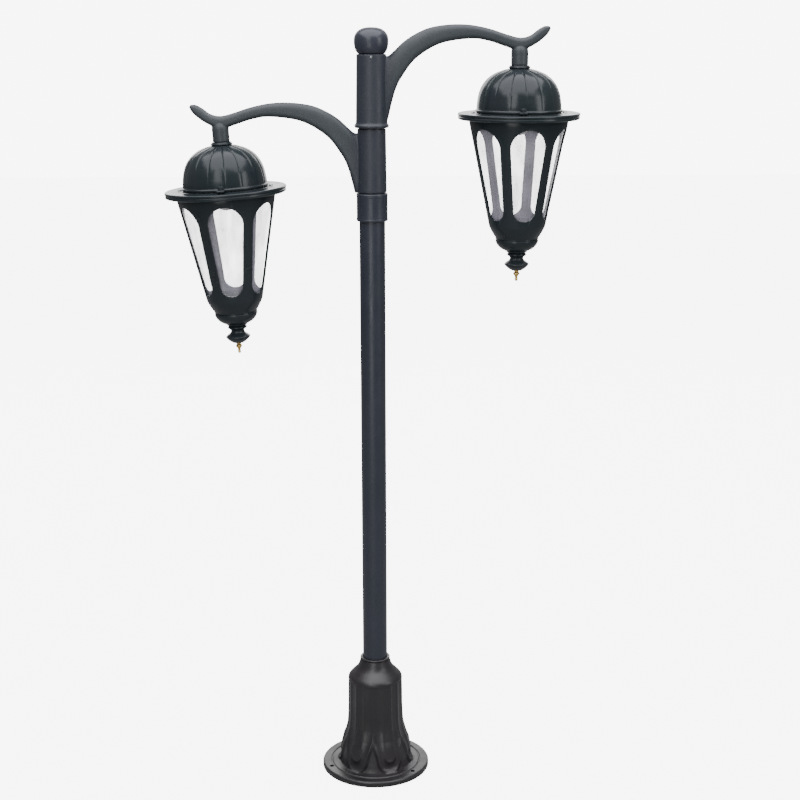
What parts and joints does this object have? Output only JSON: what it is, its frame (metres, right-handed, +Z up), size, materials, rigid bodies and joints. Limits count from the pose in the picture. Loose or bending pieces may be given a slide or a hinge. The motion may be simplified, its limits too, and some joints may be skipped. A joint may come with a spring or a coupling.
{
  "type": "street lamp post",
  "caption": "Garden lamp post with a fluted bell base, a round pole, scrolled arms at different heights and hanging ribbed lanterns whose cages hinge open.",
  "frame": {"origin": "on the ground, on the axis of the pole", "axes": "+Z up along the pole, +X towards the upper arm's lantern, -Y towards the lanterns' latches"},
  "size_m": [0.9571, 0.281, 1.8255],
  "materials": {
    "base_paint": "dark grey-brown semi-gloss paint over an aluminium sand casting",
    "post_paint": "charcoal semi-gloss paint on steel",
    "arm_paint": "blue-grey semi-gloss paint over an aluminium casting",
    "lantern_paint": "green-black gloss paint over aluminium castings",
    "plated_steel": "zinc plated",
    "brass": "polished, slightly tarnished",
    "gasket_rubber": "matt",
    "frosted_diffuser": "frosted, hammered translucent sheet",
    "lamp_glass": "opal lamp with a plated screw cap",
    "holder_ceramic": "glazed",
    "terminal_plastic": "moulded"
  },
  "bodies": {
    "post": {"base_casting": "base_paint", "neck_ring": "base_paint", "base_screw_1": "plated_steel", "base_screw_2": "plated_steel", "pole_tube": "post_paint", "coupling_collar": "post_paint", "collar_screw_1": "plated_steel", "collar_screw_2": "plated_steel", "ball_finial": "post_paint", "terminal_bracket": "plated_steel", "terminal_block": "terminal_plastic"},
    "upper_arm_body": {"upper_arm": "arm_paint", "upper_arm_screw_1": "plated_steel", "upper_arm_screw_2": "plated_steel", "upper_collar_ring": "lantern_paint", "upper_nipple": "plated_steel", "upper_lock_nut": "plated_steel", "upper_dome": "lantern_paint", "upper_gasket": "gasket_rubber", "upper_lamp_holder": "holder_ceramic", "upper_hinge_bracket": "lantern_paint", "upper_hinge_pin": "plated_steel"},
    "upper_cage_body": {"upper_hinge_leaf": "lantern_paint", "upper_brim": "lantern_paint", "upper_cage_screw_1": "plated_steel", "upper_cage_screw_2": "plated_steel", "upper_cage": "lantern_paint", "upper_diffuser": "frosted_diffuser", "upper_bottom_cup": "lantern_paint", "upper_tie_stud": "plated_steel", "upper_stud_nut": "plated_steel", "upper_finial": "lantern_paint", "upper_brass_tip": "brass"},
    "upper_latch_body": {"upper_latch_screw": "lantern_paint"},
    "upper_bulb_body": {"upper_bulb": "lamp_glass"},
    "lower_arm_body": {"lower_arm": "arm_paint", "lower_arm_screw_1": "plated_steel", "lower_arm_screw_2": "plated_steel", "lower_collar_ring": "lantern_paint", "lower_nipple": "plated_steel", "lower_lock_nut": "plated_steel", "lower_dome": "lantern_paint", "lower_gasket": "gasket_rubber", "lower_lamp_holder": "holder_ceramic", "lower_hinge_bracket": "lantern_paint", "lower_hinge_pin": "plated_steel"},
    "lower_cage_body": {"lower_hinge_leaf": "lantern_paint", "lower_brim": "lantern_paint", "lower_cage_screw_1": "plated_steel", "lower_cage_screw_2": "plated_steel", "lower_cage": "lantern_paint", "lower_diffuser": "frosted_diffuser", "lower_bottom_cup": "lantern_paint", "lower_tie_stud": "plated_steel", "lower_stud_nut": "plated_steel", "lower_finial": "lantern_paint", "lower_brass_tip": "brass"},
    "lower_latch_body": {"lower_latch_screw": "lantern_paint"},
    "lower_bulb_body": {"lower_bulb": "lamp_glass"}
  },
  "joints": [
    {"name": "upper_arm_swivel", "type": "hinge", "parent": "post", "child": "upper_arm_body", "pos_m": [0, 0, 1.68], "axis": [0, 0, 1], "range_deg": [-60, 60]},
    {"name": "lower_arm_swivel", "type": "hinge", "parent": "post", "child": "lower_arm_body", "pos_m": [0, 0, 1.53], "axis": [0, 0, 1], "range_deg": [-60, 60]},
    {"name": "upper_cage_hinge", "type": "hinge", "parent": "upper_arm_body", "child": "upper_cage_body", "pos_m": [0.3375, 0.108, 1.635], "axis": [1, 0, 0], "range_deg": [0, 75]},
    {"name": "lower_cage_hinge", "type": "hinge", "parent": "lower_arm_body", "child": "lower_cage_body", "pos_m": [-0.3393, 0.108, 1.46516], "axis": [0.9983, 0, 0.0576], "range_deg": [0, 75]},
    {"name": "upper_latch_turn", "type": "hinge", "parent": "upper_arm_body", "child": "upper_latch_body", "pos_m": [0.3375, -0.109, 1.628], "axis": [0, 0, 1], "continuous": true},
    {"name": "lower_latch_turn", "type": "hinge", "parent": "lower_arm_body", "child": "lower_latch_body", "pos_m": [-0.3389, -0.109, 1.45818], "axis": [-0.0576, 0, 0.9983], "continuous": true},
    {"name": "upper_bulb_turn", "type": "hinge", "parent": "upper_arm_body", "child": "upper_bulb_body", "pos_m": [0.3375, 0, 1.628], "axis": [0, 0, 1], "continuous": true},
    {"name": "lower_bulb_turn", "type": "hinge", "parent": "lower_arm_body", "child": "lower_bulb_body", "pos_m": [-0.3389, 0, 1.45818], "axis": [-0.0576, 0, 0.9983], "continuous": true}
  ]
}
